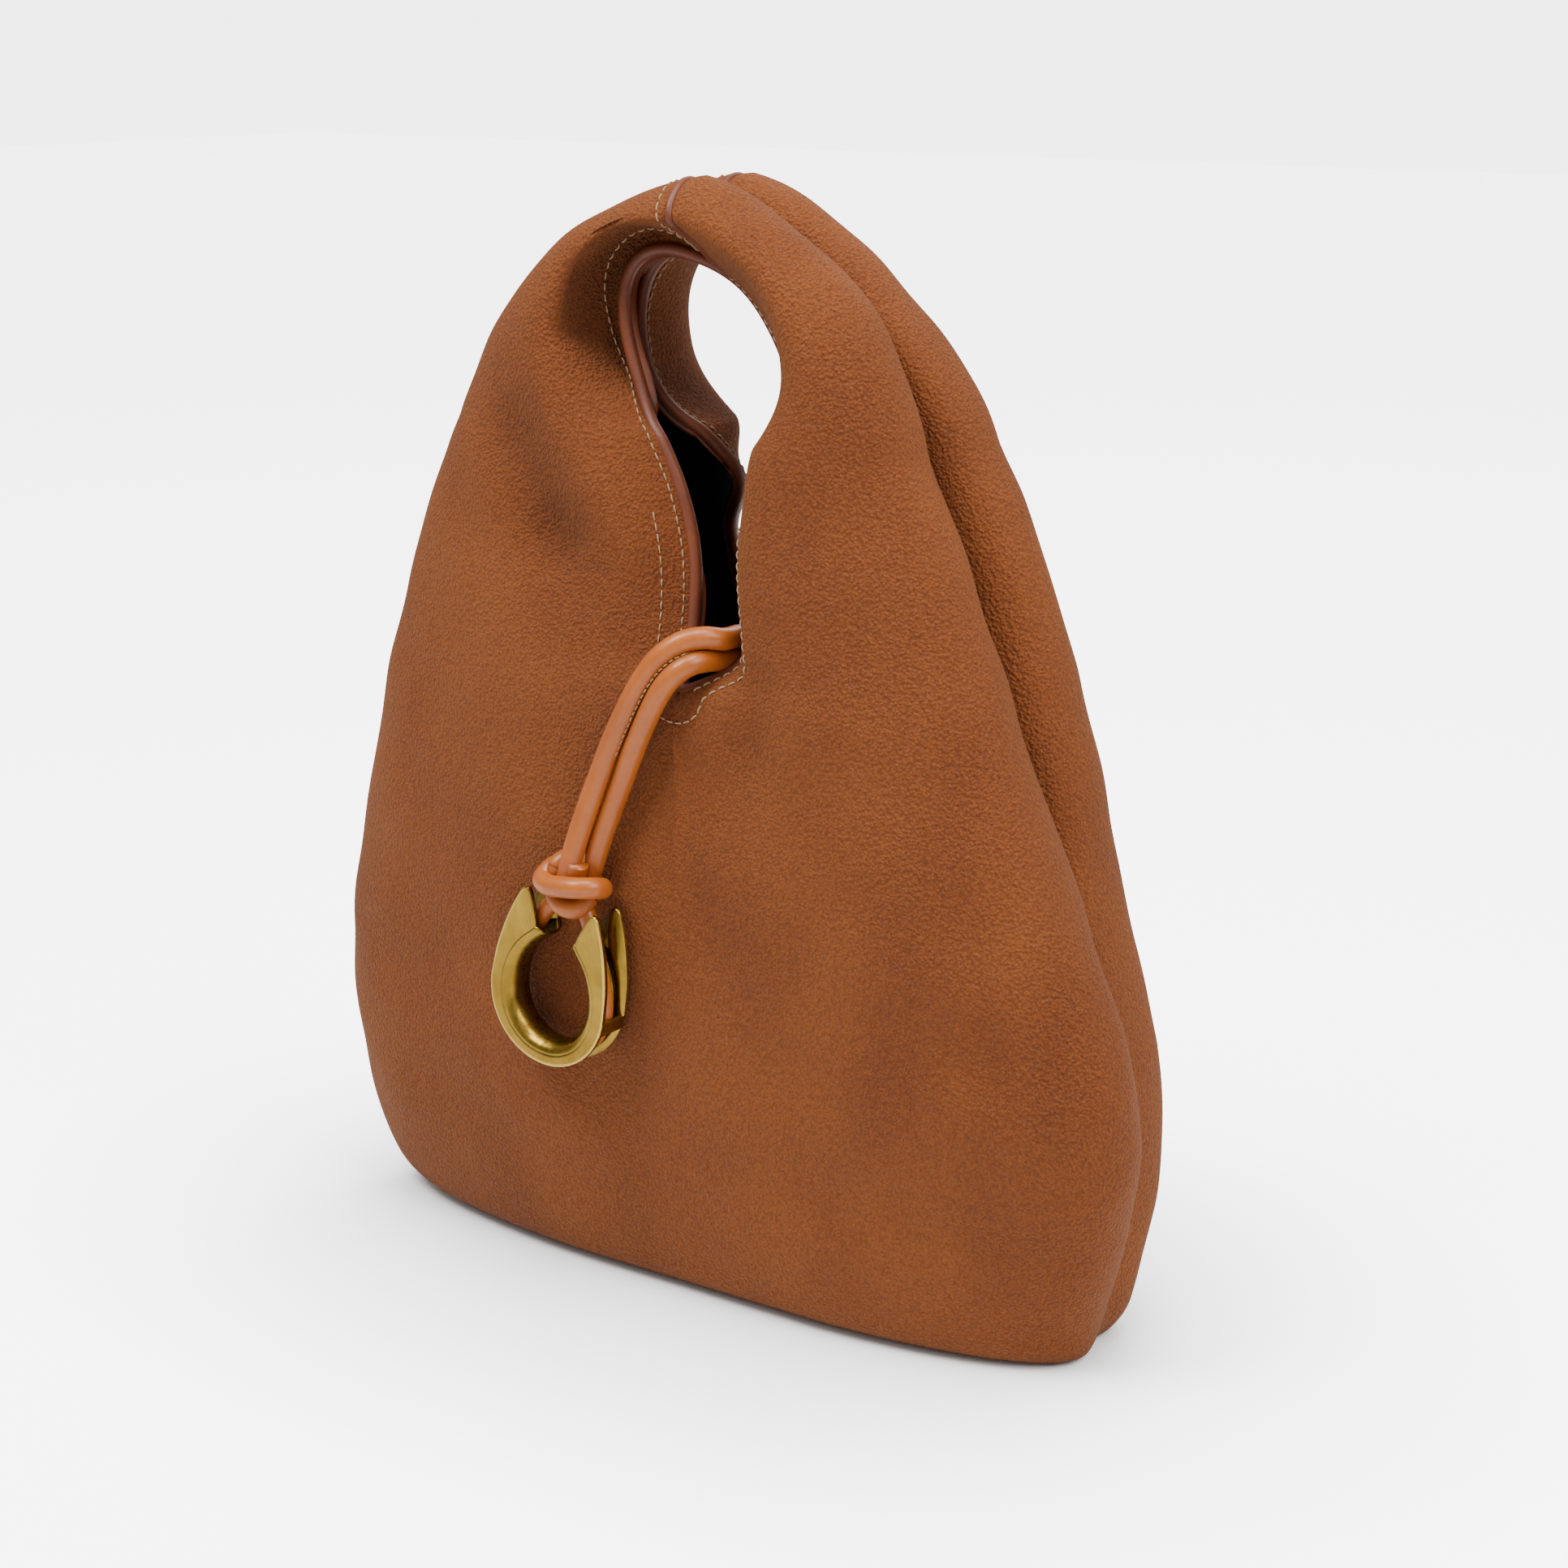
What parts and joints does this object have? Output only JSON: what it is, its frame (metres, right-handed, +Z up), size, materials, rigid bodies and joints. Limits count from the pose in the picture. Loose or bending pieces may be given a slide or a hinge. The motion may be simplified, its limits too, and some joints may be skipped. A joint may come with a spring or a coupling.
{
  "type": "hobo bag",
  "caption": "Slouched leather hobo bag with a one-piece loop handle, a bound hand opening and a cord with a horseshoe ring over its front.",
  "frame": {"origin": "on the ground under the middle of the bag's box, without the hanging cord and ring", "axes": "+Z up, the front with the hanging ring faces -Y, +X to the right as seen from the front"},
  "size_m": [0.2939, 0.1145, 0.3427],
  "materials": {
    "nubuck": "brushed nubuck, fine mottled grain",
    "smooth_leather": "smooth, soft sheen",
    "cord_leather": "smooth rolled leather, soft gloss",
    "lining": "black woven lining",
    "board": "matt board",
    "webbing": "woven tape",
    "thread": "waxed cream thread",
    "brass": "antique satin brass"
  },
  "bodies": {
    "bag": {"front_panel": "nubuck", "rear_panel": "nubuck", "base_panel": "nubuck", "base_stiffener": "board", "front_lining": "lining", "rear_lining": "lining", "front_opening_facing": "smooth_leather", "rear_opening_facing": "smooth_leather", "front_opening_binding": "smooth_leather", "rear_opening_binding": "smooth_leather", "front_handle_piping": "nubuck", "rear_handle_piping": "nubuck", "front_handle_webbing": "webbing", "rear_handle_webbing": "webbing", "left_seam_tape": "webbing", "right_seam_tape": "webbing", "front_edge_stitching": "thread", "rear_edge_stitching": "thread", "front_facing_stitching": "thread", "handle_seam_stitching": "thread", "cord_anchor_tab": "smooth_leather", "anchor_rivet": "brass", "cord_tail_strands": "cord_leather"},
    "cord": {"closure_cord_strands": "cord_leather", "cord_stitching": "thread", "cord_knot": "cord_leather"},
    "ring": {"ring_cord_loop": "cord_leather", "closure_ring": "brass", "ring_bridge_bars": "brass"}
  },
  "joints": [
    {"name": "cord_swing", "type": "hinge", "parent": "bag", "child": "cord", "pos_m": [0.0145, -0.036, 0.2065], "axis": [-1, 0, 0], "range_deg": [0, 85]},
    {"name": "ring_tilt", "type": "hinge", "parent": "cord", "child": "ring", "pos_m": [-0.0238, -0.057, 0.1284], "axis": [-1, 0, 0], "range_deg": [0, 45]}
  ]
}
